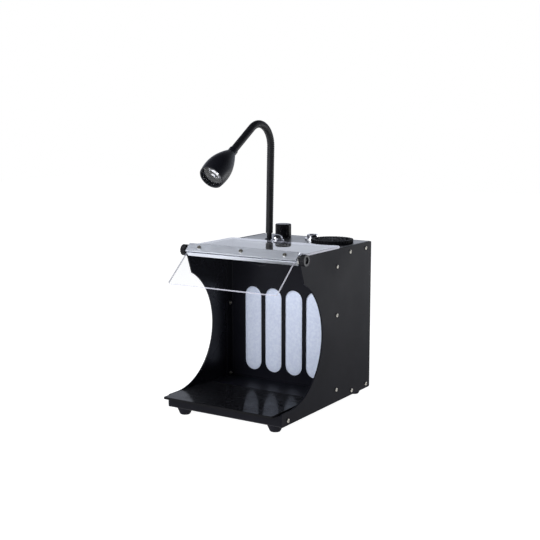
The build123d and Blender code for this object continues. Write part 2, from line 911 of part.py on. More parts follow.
with BuildPart() as exhaust_cap:
    exhaust_plane = Plane((exhaust_x, exhaust_y, roof_z))
    ring_outer = exhaust_radius - exhaust_bar / 2
    ring_inner = exhaust_radius - exhaust_rim
    with BuildSketch(exhaust_plane):
        Circle(ring_outer)
        with PolarLocations(ring_outer, exhaust_ribs):
            Rectangle(exhaust_bar, exhaust_bar)
        Circle(ring_inner, mode=Mode.SUBTRACT)
    extrude(amount=exhaust_height)
    with BuildSketch(exhaust_plane.offset(exhaust_height)):
        Circle(ring_inner / 4)
        for share in (2, 3):
            middle = ring_inner * share / 4
            with BuildSketch(mode=Mode.PRIVATE) as hoop:
                Circle(middle + exhaust_bar / 2)
                Circle(middle - exhaust_bar / 2, mode=Mode.SUBTRACT)
            add(hoop.sketch)
        with PolarLocations(ring_inner / 2 + exhaust_bar, exhaust_spokes):
            Rectangle(ring_inner - exhaust_bar, exhaust_bar)
    extrude(amount=-exhaust_spoke_thickness)
exhaust_cap.part.label = "exhaust_cap"
export_step(exhaust_cap.part, "parts/exhaust_cap.step")


def ring_nut(x, y, outer, inner):
    """A hexagonal nut pulled up against the underside of the roof."""
    with BuildPart() as nut:
        with BuildSketch(Plane((x, y, roof_under - ring_nut_height))):
            RegularPolygon(outer, 6)
            Circle(inner, mode=Mode.SUBTRACT)
        extrude(amount=ring_nut_height)
    return nut


# Speed control

pot_top = roof_under
with BuildPart() as pot_body:
    post(*dial, pot_top - pot_depth, pot_radius, pot_depth)
    post(*dial, pot_top, bush_radius, sheet)
    post(
        *dial,
        pot_top - pot_depth + sheet,
        shaft_radius + running_gap,
        pot_depth,
        Mode.SUBTRACT,
    )
pot_body.part.label = "pot_body"
export_step(pot_body.part, "parts/pot_body.step")

shaft_bottom = pot_top - pot_depth + sheet + running_gap
dial_bottom = roof_z + dial_gap
shaft_top = dial_bottom + dial_height * 2 / 3
with BuildPart() as pot_shaft:
    post(*dial, shaft_bottom, shaft_radius, shaft_top - shaft_bottom)
pot_shaft.part.label = "pot_shaft"
export_step(pot_shaft.part, "parts/pot_shaft.step")

with BuildPart() as speed_knob:
    post(*dial, dial_bottom, dial_radius, dial_height)
    chamfer(speed_knob.faces().sort_by(Axis.Z)[-1].edges(), 1.0)
    with BuildSketch(Plane((*dial, dial_bottom + dial_skirt))):
        with PolarLocations(dial_radius, dial_flutes):
            Circle(blade_thickness / 2)
    extrude(amount=dial_height - dial_skirt, mode=Mode.SUBTRACT)
    post(*dial, dial_bottom, shaft_radius, shaft_top - dial_bottom, Mode.SUBTRACT)
speed_knob.part.label = "speed_knob"
export_step(speed_knob.part, "parts/speed_knob.step")

board_top = pot_top - pot_depth
with BuildPart() as control_board:
    board_middle = (dial[0], rear_inner - roof_hem / 2 - board_depth / 2)
    with BuildSketch(Plane((*board_middle, board_top - board_thickness))):
        RectangleRounded(board_width, board_depth, 2.0)
    extrude(amount=board_thickness)
    for part_x, part_y, part_radius, part_height in (
        (-22.0, 14.0, 5.0, 11.0),
        (-22.0, -8.0, 4.0, 8.0),
        (20.0, 16.0, 3.2, 9.0),
    ):
        post(
            board_middle[0] + part_x,
            board_middle[1] + part_y,
            board_top - board_thickness - part_height,
            part_radius,
            part_height,
        )
control_board.part.label = "control_board"
export_step(control_board.part, "parts/control_board.step")

# Push switch with a domed cap

with BuildPart() as switch_body:
    post(*switch, roof_z, switch_bezel_radius, switch_bezel_height)
    chamfer(switch_body.faces().sort_by(Axis.Z)[-1].edges(), 1.0)
    post(*switch, roof_z - switch_body_depth, switch_body_radius, switch_body_depth)
    cap_bottom = roof_z + switch_bezel_height
    post(
        *switch,
        cap_bottom - switch_travel - 2 * seat_gap,
        switch_cap_radius + moving_gap,
        switch_travel + 2 * seat_gap,
        Mode.SUBTRACT,
    )
    post(
        *switch,
        roof_z - switch_body_depth + sheet,
        switch_stem_radius + running_gap,
        switch_body_depth,
        Mode.SUBTRACT,
    )
switch_body.part.label = "switch_body"
export_step(switch_body.part, "parts/switch_body.step")

with BuildPart() as switch_button:
    cap_base = cap_bottom - seat_gap
    dome_height = switch_cap_rise - switch_bezel_height
    dome_start = cap_base + dome_height / 3
    cap_top = roof_z + switch_cap_rise
    dome_rise = cap_top - dome_start
    dome_radius = (switch_cap_radius**2 + dome_rise**2) / (2 * dome_rise)
    dome_middle = switch_cap_radius / 2
    dome_middle_z = cap_top - dome_radius + (dome_radius**2 - dome_middle**2) ** 0.5
    with BuildSketch(Plane.XZ.offset(-switch[1])) as section:
        with BuildLine():
            floor = Line((switch[0], cap_base), (switch[0] + switch_cap_radius, cap_base))
            edge = Line(floor @ 1, (switch[0] + switch_cap_radius, dome_start))
            dome = ThreePointArc(
                edge @ 1,
                (switch[0] + dome_middle, dome_middle_z),
                (switch[0], cap_top),
            )
            Line(dome @ 1, floor @ 0)
        make_face()
    revolve(section.sketch, axis=Axis((*switch, 0), (0, 0, 1)))
    stem_bottom = roof_z - switch_body_depth + sheet + switch_travel + seat_gap
    post(*switch, stem_bottom, switch_stem_radius, cap_base - stem_bottom)
switch_button.part.label = "switch_button"
export_step(switch_button.part, "parts/switch_button.step")

switch_nut = ring_nut(*switch, switch_body_radius + ring_nut_height, switch_body_radius + screw_gap)
switch_nut.part.label = "switch_nut"
export_step(switch_nut.part, "parts/switch_nut.step")

# Power socket

with BuildPart() as power_socket:
    post(*socket, roof_z, socket_flange_radius, socket_flange_height)
    post(*socket, roof_z - socket_tail, socket_barrel_radius, socket_tail)
    post(*socket, roof_z, socket_barrel_radius, socket_barrel_height)
    chamfer(power_socket.faces().sort_by(Axis.Z)[-1].edges(), 0.5)
    socket_floor = roof_z + socket_flange_height / 2
    post(*socket, socket_floor, socket_bore_radius, socket_barrel_height, Mode.SUBTRACT)
    with BuildSketch(Plane((*socket, socket_floor))):
        with PolarLocations(socket_bore_radius / 2, 3):
            Circle(socket_pin_radius)
    extrude(amount=socket_barrel_height / 4)
power_socket.part.label = "power_socket"
export_step(power_socket.part, "parts/power_socket.step")

socket_nut = ring_nut(*socket, socket_barrel_radius + ring_nut_height, socket_barrel_radius + screw_gap)
socket_nut.part.label = "socket_nut"
export_step(socket_nut.part, "parts/socket_nut.step")

# Gooseneck lamp: the arm lies in one upright plane, so its route is a line, an arc and a line

lamp_bottom = roof_z + lamp_neck_height
drop = radians(lamp_drop)
fall = Vector(0, -cos(drop), -sin(drop))
arm_corner = Vector(lamp_x, front_y + arm_corner_y, base_z + arm_corner_height)
arm_end = arm_corner + fall * arm_fall_length
head_start = arm_end + fall * ferrule_lap

with BuildPart() as lamp_stem:
    post(*lamp_foot, roof_z, lamp_collar_radius, lamp_collar_height)
    post(
        *lamp_foot,
        roof_under - 2 * ring_nut_height,
        lamp_neck_radius,
        sheet + 2 * ring_nut_height + lamp_neck_height,
    )
lamp_stem.part.label = "lamp_stem"
export_step(lamp_stem.part, "parts/lamp_stem.step")

lamp_nut = ring_nut(*lamp_foot, lamp_neck_radius + ring_nut_height, lamp_neck_radius + screw_gap)
lamp_nut.part.label = "lamp_nut"
export_step(lamp_nut.part, "parts/lamp_nut.step")

with BuildPart() as gooseneck_arm:
    with BuildLine() as route:
        FilletPolyline(
            (*lamp_foot, lamp_bottom + seat_gap),
            tuple(arm_corner),
            tuple(arm_end),
            radius=arm_bend,
        )
    with BuildSketch(Plane(route.line @ 0, z_dir=route.line % 0)):
        Circle(arm_radius)
    sweep()
gooseneck_arm.part.label = "gooseneck_arm"
export_step(gooseneck_arm.part, "parts/gooseneck_arm.step")

# The head is turned about the arm's last direction: sketch X is the radius, sketch Y runs forward
head_plane = Plane(head_start, x_dir=(1, 0, 0), z_dir=(0, sin(drop), -cos(drop)))
head_axis = Axis(head_start, fall)


def turned(points):
    """A ring turned about the head's axis from points given as radius and distance forward."""
    with BuildSketch(head_plane) as section:
        with BuildLine() as outline:
            Polyline(*points, close=True)
        make_face(outline.edges())
    revolve(section.sketch, axis=head_axis)


ferrule_back = -ferrule_lap
ferrule_front = ferrule_back + ferrule_length
with BuildPart() as lamp_ferrule:
    turned(
        [
            (arm_radius + screw_gap, ferrule_back),
            (ferrule_radius - 0.5, ferrule_back),
            (ferrule_radius, ferrule_back + 1.0),
            (ferrule_radius, ferrule_front),
            (0, ferrule_front),
            (0, seat_gap),
            (arm_radius + screw_gap, seat_gap),
        ]
    )
lamp_ferrule.part.label = "lamp_ferrule"
export_step(lamp_ferrule.part, "parts/lamp_ferrule.step")

mouth_floor = head_length - mouth_depth
optic_back = mouth_floor - optic_depth
with BuildPart() as lamp_shell:
    with BuildSketch(head_plane) as section:
        with BuildLine():
            seat = Line((ferrule_radius + screw_gap, 1.0), (head_neck_radius, 1.0))
            bell = Spline(
                seat @ 1,
                (head_radius * 0.78, head_length * 0.32),
                (head_radius * 0.97, head_length * 0.58),
                (head_radius, head_length * 0.78),
                (head_rim_radius, head_length),
            )
            Polyline(
                bell @ 1,
                (head_mouth_radius, head_length),
                (head_mouth_radius, mouth_floor),
                (optic_radius + screw_gap, mouth_floor),
                (optic_radius + screw_gap, optic_back - led_thickness),
                (0, optic_back - led_thickness),
                (0, ferrule_front + screw_gap),
                (ferrule_radius + screw_gap, ferrule_front + screw_gap),
                seat @ 0,
            )
        make_face()
    revolve(section.sketch, axis=head_axis)
lamp_shell.part.label = "lamp_shell"
export_step(lamp_shell.part, "parts/lamp_shell.step")

with BuildPart() as lamp_led:
    turned(
        [
            (0, optic_back - led_thickness),
            (optic_radius, optic_back - led_thickness),
            (optic_radius, optic_back - seat_gap),
            (led_dome_radius, optic_back - seat_gap),
            (led_dome_radius, optic_back + led_dome_radius),
            (0, optic_back + 1.5 * led_dome_radius),
        ]
    )
lamp_led.part.label = "lamp_led"
export_step(lamp_led.part, "parts/lamp_led.step")

with BuildPart() as lamp_reflector:
    turned(
        [
            (led_dome_radius + seat_gap, optic_back),
            (optic_radius, optic_back),
            (optic_radius, mouth_floor),
            (optic_radius - 1.0, mouth_floor),
            (optic_radius - 3.0, mouth_floor - optic_depth / 2),
            (led_dome_radius + seat_gap, optic_back + 1.0),
        ]
    )
lamp_reflector.part.label = "lamp_reflector"
export_step(lamp_reflector.part, "parts/lamp_reflector.step")

lens_front = head_length - mouth_depth / 3
lens_back = lens_front - lens_thickness
with BuildPart() as lamp_cone:
    turned(
        [
            (optic_radius, mouth_floor),
            (head_mouth_radius - screw_gap, mouth_floor),
            (head_mouth_radius - screw_gap, lens_back),
            (head_mouth_radius - 1.0, lens_back),
            (optic_radius, mouth_floor + 1.0),
        ]
    )
lamp_cone.part.label = "lamp_cone"
export_step(lamp_cone.part, "parts/lamp_cone.step")

with BuildPart() as lamp_lens:
    turned(
        [
            (0, lens_back),
            (head_mouth_radius - screw_gap, lens_back),
            (head_mouth_radius - screw_gap, lens_front),
            (0, lens_front),
        ]
    )
lamp_lens.part.label = "lamp_lens"
export_step(lamp_lens.part, "parts/lamp_lens.step")
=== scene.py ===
import json
from math import ceil, cos, exp, pi, radians, sin, tan, tau

import bpy
from mathutils import Matrix, Vector, noise


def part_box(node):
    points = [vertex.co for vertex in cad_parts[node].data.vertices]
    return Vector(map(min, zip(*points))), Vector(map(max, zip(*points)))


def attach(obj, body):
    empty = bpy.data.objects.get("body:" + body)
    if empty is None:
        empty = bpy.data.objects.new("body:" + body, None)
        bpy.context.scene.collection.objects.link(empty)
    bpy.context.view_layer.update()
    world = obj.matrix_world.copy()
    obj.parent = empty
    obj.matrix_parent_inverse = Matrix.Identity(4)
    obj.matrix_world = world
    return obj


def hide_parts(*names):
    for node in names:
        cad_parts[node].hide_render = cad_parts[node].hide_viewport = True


# Bench filter hood: finishes, filter cotton, wound lamp arm, turned screws and studio.
# Metres, in the part's frame: +X to the right, +Y to the rear, +Z up.

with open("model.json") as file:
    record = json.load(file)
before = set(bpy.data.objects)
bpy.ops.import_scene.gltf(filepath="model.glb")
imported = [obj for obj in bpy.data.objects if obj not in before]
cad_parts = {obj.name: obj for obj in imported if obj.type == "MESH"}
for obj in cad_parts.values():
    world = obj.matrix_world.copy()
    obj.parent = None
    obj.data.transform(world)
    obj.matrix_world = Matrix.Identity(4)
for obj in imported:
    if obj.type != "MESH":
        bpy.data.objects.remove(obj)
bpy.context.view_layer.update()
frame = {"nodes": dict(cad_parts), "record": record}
nodes = frame["nodes"]
scene = bpy.context.scene


# Node helpers

tint_span = (0.35, 0.7)
bevel_samples = 4


def new_material(name):
    material = bpy.data.materials.new(name)
    material.use_nodes = True
    tree = material.node_tree
    return material, tree, tree.nodes["Principled BSDF"]


def math_node(tree, operation, first, second=None):
    """The result of a sum on one or two sockets or numbers."""
    node = tree.nodes.new("ShaderNodeMath")
    node.operation = operation
    for place, value in enumerate((first, second)):
        if value is None:
            continue
        if isinstance(value, (int, float)):
            node.inputs[place].default_value = value
        else:
            tree.links.new(value, node.inputs[place])
    return node.outputs["Value"]


def vector_node(tree, operation, vector, other=None):
    """A sum on a vector socket, with a fixed vector as its other side."""
    node = tree.nodes.new("ShaderNodeVectorMath")
    node.operation = operation
    tree.links.new(vector, node.inputs[0])
    if other is not None:
        node.inputs[1].default_value = other
    return node


def ranged(tree, value, low, high, start=0.3, end=0.7):
    """A value between start and end, stretched to low and high."""
    node = tree.nodes.new("ShaderNodeMapRange")
    node.inputs["From Min"].default_value = start
    node.inputs["From Max"].default_value = end
    node.inputs["To Min"].default_value = low
    node.inputs["To Max"].default_value = high
    tree.links.new(value, node.inputs["Value"])
    return node.outputs["Result"]


def mixed(tree, share, first, second):
    """Two shaders mixed; share is how much of the second one shows."""
    node = tree.nodes.new("ShaderNodeMixShader")
    tree.links.new(share, node.inputs["Fac"])
    tree.links.new(first, node.inputs[1])
    tree.links.new(second, node.inputs[2])
    return node.outputs["Shader"]


def shown(tree, shader):
    """Makes a shader the one that the material shows."""
    tree.links.new(shader, tree.nodes["Material Output"].inputs["Surface"])


def grain(tree, size, stretch=(1, 1, 1), detail=2.0):
    """Noise whose patches are about size metres across; stretch draws them out along an axis."""
    place = tree.nodes.new("ShaderNodeTexCoord")
    mapping = tree.nodes.new("ShaderNodeMapping")
    mapping.inputs["Scale"].default_value = [1 / s for s in stretch]
    texture = tree.nodes.new("ShaderNodeTexNoise")
    texture.inputs["Scale"].default_value = 1 / size
    texture.inputs["Detail"].default_value = detail
    tree.links.new(place.outputs["Object"], mapping.inputs["Vector"])
    tree.links.new(mapping.outputs["Vector"], texture.inputs["Vector"])
    return texture.outputs["Fac"]


def raise_bump(tree, shader, height, depth, edge=0.0):
    """Bump of a real depth in metres, with sharp edges eased by edge metres."""
    bump = tree.nodes.new("ShaderNodeBump")
    bump.inputs["Strength"].default_value = 1.0
    bump.inputs["Distance"].default_value = depth
    tree.links.new(height, bump.inputs["Height"])
    if edge:
        bevel = tree.nodes.new("ShaderNodeBevel")
        bevel.samples = bevel_samples
        bevel.inputs["Radius"].default_value = edge
        tree.links.new(bevel.outputs["Normal"], bump.inputs["Normal"])
    tree.links.new(bump.outputs["Normal"], shader.inputs["Normal"])
    return bump


def tinted(tree, shader, value, first, second):
    """Base colour that drifts between two colours with a value."""
    ramp = tree.nodes.new("ShaderNodeValToRGB")
    for stop, position, color in zip(ramp.color_ramp.elements, tint_span, (first, second)):
        stop.position = position
        stop.color = (*color, 1)
    tree.links.new(value, ramp.inputs["Fac"])
    tree.links.new(ramp.outputs["Color"], shader.inputs["Base Color"])


# Finishes

tray_lean = radians(6.0)
wiping_depth = 0.000003
acrylic_index = 1.49
both_faces = 1.45
edge_facing = 0.6
streak_shade = 0.88
streak_depth = 0.000004
scuff_gain = 1.35
scuff_lift = 0.001


def powder_coat(name="powder_black", roughness=(0.36, 0.46), reflection=0.06):
    """Satin powder coat with orange peel, slow drifts of gloss and a little dust."""
    material, tree, shader = new_material(name)
    dust = grain(tree, size=0.05, detail=6)
    gloss_drift = grain(tree, size=0.09, detail=4)
    orange_peel = grain(tree, size=0.0011)
    tinted(tree, shader, dust, (0.0065, 0.0067, 0.010), (0.0095, 0.0097, 0.0138))
    tree.links.new(ranged(tree, gloss_drift, *roughness), shader.inputs["Roughness"])
    shader.inputs["Specular IOR Level"].default_value = reflection
    raise_bump(tree, shader, orange_peel, depth=0.00003, edge=0.0006)
    return material


def roof_paint():
    """Smooth black paint of the roof: a blurred sheen with faint waves and rubbed patches."""
    material, tree, shader = new_material("gloss_black")
    dust = grain(tree, size=0.04, detail=5)
    rubbed = grain(tree, size=0.03, detail=5)
    waves = grain(tree, size=0.006)
    tinted(tree, shader, dust, (0.004, 0.004, 0.005), (0.007, 0.007, 0.0085))
    tree.links.new(ranged(tree, rubbed, 0.34, 0.42), shader.inputs["Roughness"])
    shader.inputs["Specular IOR Level"].default_value = 1.0
    shader.inputs["Coat Weight"].default_value = 0.6
    shader.inputs["Coat Roughness"].default_value = 0.3
    raise_bump(tree, shader, waves, depth=0.000004, edge=0.0005)
    return material


def tray_sheet():
    """Black sheet of the loose tray: a thin gloss over a dull ground, with fine wiping marks."""
    material, tree, gloss = new_material("tray_black")
    dust = grain(tree, size=0.03, detail=6)
    wiping = grain(tree, size=0.0012, stretch=(14, 1, 1), detail=4)
    tinted(tree, gloss, dust, (0.004, 0.004, 0.005), (0.008, 0.008, 0.0095))
    tree.links.new(ranged(tree, wiping, 0.07, 0.11), gloss.inputs["Roughness"])
    gloss.inputs["Specular IOR Level"].default_value = 0.12
    bump = raise_bump(tree, gloss, wiping, wiping_depth)
    # The mesh is flat. Only the gloss leans, which brings the slots' mirror images to the front.
    surface = tree.nodes.new("ShaderNodeNewGeometry")
    lean = vector_node(tree, "ADD", surface.outputs["Normal"], (0, tan(tray_lean), 0))
    unit = vector_node(tree, "NORMALIZE", lean.outputs["Vector"])
    tree.links.new(unit.outputs["Vector"], bump.inputs["Normal"])
    dull = tree.nodes.new("ShaderNodeBsdfPrincipled")
    dull.inputs["Base Color"].default_value = (0.006, 0.006, 0.0075, 1)
    dull.inputs["Roughness"].default_value = 0.6
    dull.inputs["Specular IOR Level"].default_value = 0.05
    raise_bump(tree, dull, wiping, wiping_depth)
    gloss_share = ranged(tree, grain(tree, size=0.02, detail=5), 0.28, 0.42)
    shown(tree, mixed(tree, gloss_share, dull.outputs["BSDF"], gloss.outputs["BSDF"]))
    return material


def clear_sheet(name, smears, wave):
    """Clear sheet: it lets the view straight through and mirrors more of the studio at a low angle."""
    material, tree, shader = new_material(name)
    tree.nodes.remove(shader)
    through = tree.nodes.new("ShaderNodeBsdfTransparent")
    through.inputs["Color"].default_value = (0.985, 0.988, 0.992, 1)
    mirror = tree.nodes.new("ShaderNodeBsdfGlossy")
    smeared = ranged(tree, grain(tree, smears, detail=6), 0.0, 0.06)
    tree.links.new(smeared, mirror.inputs["Roughness"])
    raise_bump(tree, mirror, grain(tree, size=0.05), wave)
    fresnel = tree.nodes.new("ShaderNodeFresnel")
    fresnel.inputs["IOR"].default_value = acrylic_index
    # The far face adds its own mirror image, so the near one carries both.
    side = tree.nodes.new("ShaderNodeNewGeometry")
    front = math_node(tree, "SUBTRACT", 1.0, side.outputs["Backfacing"])
    both = math_node(tree, "MULTIPLY", fresnel.outputs["Fac"], both_faces)
    mirror_share = math_node(tree, "MULTIPLY", both, front)
    sheet = mixed(tree, mirror_share, through.outputs["BSDF"], mirror.outputs["BSDF"])
    shown(tree, sheet)
    return material, tree, sheet


def acrylic(name, face_normal):
    """Clear acrylic with smears on its polished faces and pale, sawn edges."""
    material, tree, sheet = clear_sheet(name, smears=0.02, wave=0.000008)
    edge = tree.nodes.new("ShaderNodeBsdfPrincipled")
    edge.inputs["Base Color"].default_value = (0.66, 0.66, 0.76, 1)
    edge.inputs["Roughness"].default_value = 0.35
    edge.inputs["Alpha"].default_value = 0.7
    saw_marks = grain(tree, size=0.0008, stretch=(8, 8, 1))
    raise_bump(tree, edge, saw_marks, depth=0.00004)
    # An edge is where the surface turns away from the sheet's own normal.
    place = tree.nodes.new("ShaderNodeTexCoord")
    along = vector_node(tree, "DOT_PRODUCT", place.outputs["Normal"], face_normal)
    facing = math_node(tree, "ABSOLUTE", along.outputs["Value"])
    is_edge = math_node(tree, "LESS_THAN", facing, edge_facing)
    shown(tree, mixed(tree, is_edge, sheet, edge.outputs["BSDF"]))
    return material


def bare_metal(name, color, roughness, brush=(1, 1, 1), size=0.0006):
    """Bare metal; brush draws its grain out along one axis."""
    material, tree, shader = new_material(name)
    shader.inputs["Metallic"].default_value = 1.0
    streaks = grain(tree, size, stretch=brush, detail=4)
    tinted(tree, shader, streaks, [c * streak_shade for c in color], color)
    tree.links.new(ranged(tree, streaks, *roughness), shader.inputs["Roughness"])
    raise_bump(tree, shader, streaks, streak_depth, edge=0.0003)
    return material


def moulded(name, color, roughness, depth=0.00002, reflection=0.2):
    """Moulded plastic or rubber with a fine grain and scuffs."""
    material, tree, shader = new_material(name)
    scuffs = grain(tree, size=0.006, detail=6)
    tinted(tree, shader, scuffs, color, [c * scuff_gain + scuff_lift for c in color])
    tree.links.new(ranged(tree, scuffs, *roughness), shader.inputs["Roughness"])
    shader.inputs["Specular IOR Level"].default_value = reflection
    raise_bump(tree, shader, grain(tree, size=0.0008), depth, edge=0.0004)
    return material


def felted_cotton():
    """White filter cotton: matted fibres that scatter light, a little uneven in tone."""
    material, tree, shader = new_material("filter_white")
    fibres = grain(tree, size=0.0009, stretch=(1.6, 1, 1), detail=6)
    tone = grain(tree, size=0.004, detail=8)
    tinted(tree, shader, tone, (0.70, 0.76, 0.93), (0.80, 0.86, 1.0))
    shader.inputs["Roughness"].default_value = 0.95
    shader.inputs["Specular IOR Level"].default_value = 0.1
    shader.inputs["Sheen Weight"].default_value = 0.25
    raise_bump(tree, shader, fibres, depth=0.00025)
    return material


visor_slope = radians(41)
visor_normal = (0, -sin(visor_slope), cos(visor_slope))
window_normal = (0, 0, 1)

finishes = {
    "powder_black": powder_coat(),
    "gloss_black": roof_paint(),
    "tray_black": tray_sheet(),
    "filter_white": felted_cotton(),
    "clear_acrylic": acrylic("clear_acrylic", window_normal),
    "bare_aluminium": bare_metal(
        "bare_aluminium", (0.80, 0.83, 0.90), (0.34, 0.48), brush=(40, 1, 1), size=0.0004
    ),
    "chrome": bare_metal("chrome", (0.86, 0.86, 0.90), (0.03, 0.09), size=0.004),
    "screw_steel": bare_metal("screw_steel", (0.50, 0.48, 0.43), (0.2, 0.34), size=0.0008),
    "motor_steel": bare_metal("motor_steel", (0.55, 0.55, 0.56), (0.3, 0.45), brush=(1, 12, 1)),
    "mirror": bare_metal("mirror", (0.93, 0.93, 0.95), (0.02, 0.06), size=0.003),
    "black_plastic": moulded(
        "black_plastic", (0.009, 0.009, 0.011), (0.5, 0.65), reflection=0.06
    ),
    "knob_black": moulded(
        "knob_black", (0.005, 0.005, 0.007), (0.22, 0.32), depth=0.000006, reflection=0.12
    ),
    "rubber_black": moulded(
        "rubber_black", (0.009, 0.009, 0.0125), (0.6, 0.78), depth=0.00004, reflection=0.05
    ),
    "nylon_white": moulded("nylon_white", (0.62, 0.61, 0.58), (0.4, 0.55)),
    "board_green": moulded("board_green", (0.03, 0.13, 0.06), (0.3, 0.45)),
    "arm_black": moulded("arm_black", (0.009, 0.009, 0.011), (0.28, 0.42), depth=0.000008),
    "lamp_black": powder_coat("lamp_black", roughness=(0.3, 0.4), reflection=0.25),
    "lens_clear": clear_sheet("lens_clear", smears=0.004, wave=0.000004)[0],
}

# Nodes whose finish differs a little from the others of their slot
finishes_by_node = {
    "visor_pane": acrylic("visor_acrylic", visor_normal),
    "floor_deck": powder_coat("deck_black", roughness=(0.3, 0.4), reflection=0.05),
    "slotted_partition": powder_coat("wall_black", roughness=(0.22, 0.3), reflection=0.06),
    "left_side_panel": powder_coat("left_black", roughness=(0.24, 0.32), reflection=0.2),
    "right_side_panel": powder_coat("right_black", roughness=(0.36, 0.46), reflection=0.03),
}

for part in frame["record"]["subparts"]:
    for material_slot in nodes[part["node"]].material_slots:
        plain = finishes[part["material_slot"]]
        material_slot.material = finishes_by_node.get(part["node"], plain)


# Mesh helpers


def new_piece(name, points, faces, finish, body):
    """A smooth mesh piece that rides on a CAD body and takes its finish from a material slot."""
    mesh = bpy.data.meshes.new(name)
    mesh.from_pydata(points, [], faces)
    mesh.validate()
    mesh.update()
    for face in mesh.polygons:
        face.use_smooth = True
    mesh.materials.append(finishes[finish])
    piece = bpy.data.objects.new(name, mesh)
    scene.collection.objects.link(piece)
    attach(piece, body)
    return piece


def tube_faces(rings, sides, first=0):
    """Faces between rings of points, each ring with as many points as sides, from point first on."""
    return [
        (
            first + ring * sides + side,
            first + ring * sides + (side + 1) % sides,
            first + (ring + 1) * sides + (side + 1) % sides,
            first + (ring + 1) * sides + side,
        )
        for ring in range(rings - 1)
        for side in range(sides)
    ]


# Filter cotton: a thick pad that swells a little into the wall's slots

slot_count = 4
slot_pitch = 0.0375
slot_half_width = 0.01565
slot_half_length = 0.0676
swell = 0.0013
swell_margin = 0.0006
swell_reach = 0.0025
fluff = 0.00022
fluff_size = 0.0022
cotton_cell = 0.0015


def inside_slot(x, z):
    """How deep a point of the pad's face lies inside its nearest slot, in metres."""
    column = round(x / slot_pitch + (slot_count - 1) / 2)
    column = min(max(column, 0), slot_count - 1)
    middle = (column - (slot_count - 1) / 2) * slot_pitch
    straight = slot_half_length - slot_half_width
    over = max(abs(z) - straight, 0)
    return slot_half_width - ((x - middle) ** 2 + over**2) ** 0.5


def filter_cotton():
    low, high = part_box("filter_pad")
    middle_z = (low.z + high.z) / 2
    columns = ceil((high.x - low.x) / cotton_cell)
    rows = ceil((high.z - low.z) / cotton_cell)
    across = columns + 1
    points = []
    for row in range(rows + 1):
        z = low.z + (high.z - low.z) * row / rows
        for column in range(across):
            x = low.x + (high.x - low.x) * column / columns
            depth = inside_slot(x, z - middle_z)
            rise = swell * (1 - exp(-max(depth - swell_margin, 0) / swell_reach))
            rough = 0
            if depth > 0:
                rough = fluff * noise.noise(Vector((x, 0, z)) / fluff_size)
            points.append((x, low.y - rise + rough, z))
    front_count = len(points)
    rim = (
        list(range(across))
        + [across * row + columns for row in range(1, rows + 1)]
        + [across * rows + column for column in range(columns - 1, -1, -1)]
        + [across * row for row in range(rows - 1, 0, -1)]
    )
    points += [(points[place][0], high.y, points[place][2]) for place in rim]
    faces = [
        (
            across * row + column,
            across * row + column + 1,
            across * (row + 1) + column + 1,
            across * (row + 1) + column,
        )
        for row in range(rows)
        for column in range(columns)
    ]
    count = len(rim)
    for place in range(count):
        after = (place + 1) % count
        faces.append((rim[place], front_count + place, front_count + after, rim[after]))
    faces.append([front_count + place for place in range(count - 1, -1, -1)])
    piece = new_piece("filter_cotton", points, faces, "filter_white", "housing")
    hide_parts("filter_pad")


# Gooseneck arm: a wire wound round a core, along a line, an arc and a line

arm_corner_y = 0.07315
arm_corner_z = 0.461
arm_end_y = -0.03169
arm_end_z = 0.39292
arm_bend = 0.035
arm_radius = 0.0059
wire_pitch = 0.0032
wire_depth = 0.0006
wire_steps = 6
arm_sides = 24


def arm_route():
    """Steps along the arm's middle, from its foot to the lamp head, and the bend's axis."""
    stem_low, stem_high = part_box("lamp_stem")
    arm_x = (stem_low.x + stem_high.x) / 2
    foot = Vector((arm_x, (stem_low.y + stem_high.y) / 2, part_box("gooseneck_arm")[0].z))
    corner = Vector((arm_x, arm_corner_y, arm_corner_z))
    end = Vector((arm_x, arm_end_y, arm_end_z))
    rise = (corner - foot).normalized()
    fall = (end - corner).normalized()
    turn = rise.angle(fall)
    trim = arm_bend * tan(turn / 2)
    bend_start = corner - rise * trim
    axis = rise.cross(fall).normalized()
    centre = bend_start + axis.cross(rise) * arm_bend
    first = (bend_start - foot).length
    middle = arm_bend * turn
    last = (end - corner).length - trim
    step = wire_pitch / wire_steps
    route = []
    for count in range(int((first + middle + last) / step) + 1):
        gone = count * step
        if gone < first:
            route.append((gone, foot + rise * gone, rise))
        elif gone < first + middle:
            spin = Matrix.Rotation((gone - first) / arm_bend, 3, axis)
            route.append((gone, centre + spin @ (bend_start - centre), spin @ rise))
        else:
            route.append((gone, corner + fall * (trim + gone - first - middle), fall))
    return route, axis


def wound_arm():
    route, side = arm_route()
    points = []
    for gone, middle, ahead in route:
        up = side.cross(ahead)
        for place in range(arm_sides):
            angle = tau * place / arm_sides
            turns = gone / wire_pitch + place / arm_sides
            radius = arm_radius - wire_depth * (1 - abs(sin(pi * turns))) ** 2
            points.append(middle + (side * cos(angle) + up * sin(angle)) * radius)
    faces = tube_faces(len(route), arm_sides)
    last_ring = (len(route) - 1) * arm_sides
    faces.append(list(range(arm_sides - 1, -1, -1)))
    faces.append([last_ring + place for place in range(arm_sides)])
    piece = new_piece("arm_turns", points, faces, "arm_black", "housing")
    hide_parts("gooseneck_arm")


# Screws: domed heads with a cross recess on threaded shanks

head_radius = 0.0029
head_height = 0.0017
head_rings = 14
head_sides = 40
head_spread = 1.12
dome_fall = 0.62
recess_arm = 0.00055
recess_wall = (0.8, 1.25)
recess_reach = 0.002
recess_end = 0.75
recess_depth = 0.0009
recess_turn = 0.7
shank_radius = 0.0015
thread_pitch = 0.0005
thread_depth = 0.00022
thread_rows = 4
thread_sides = 14


def smooth_step(value, start, end):
    share = min(max((value - start) / (end - start), 0), 1)
    return share * share * (3 - 2 * share)


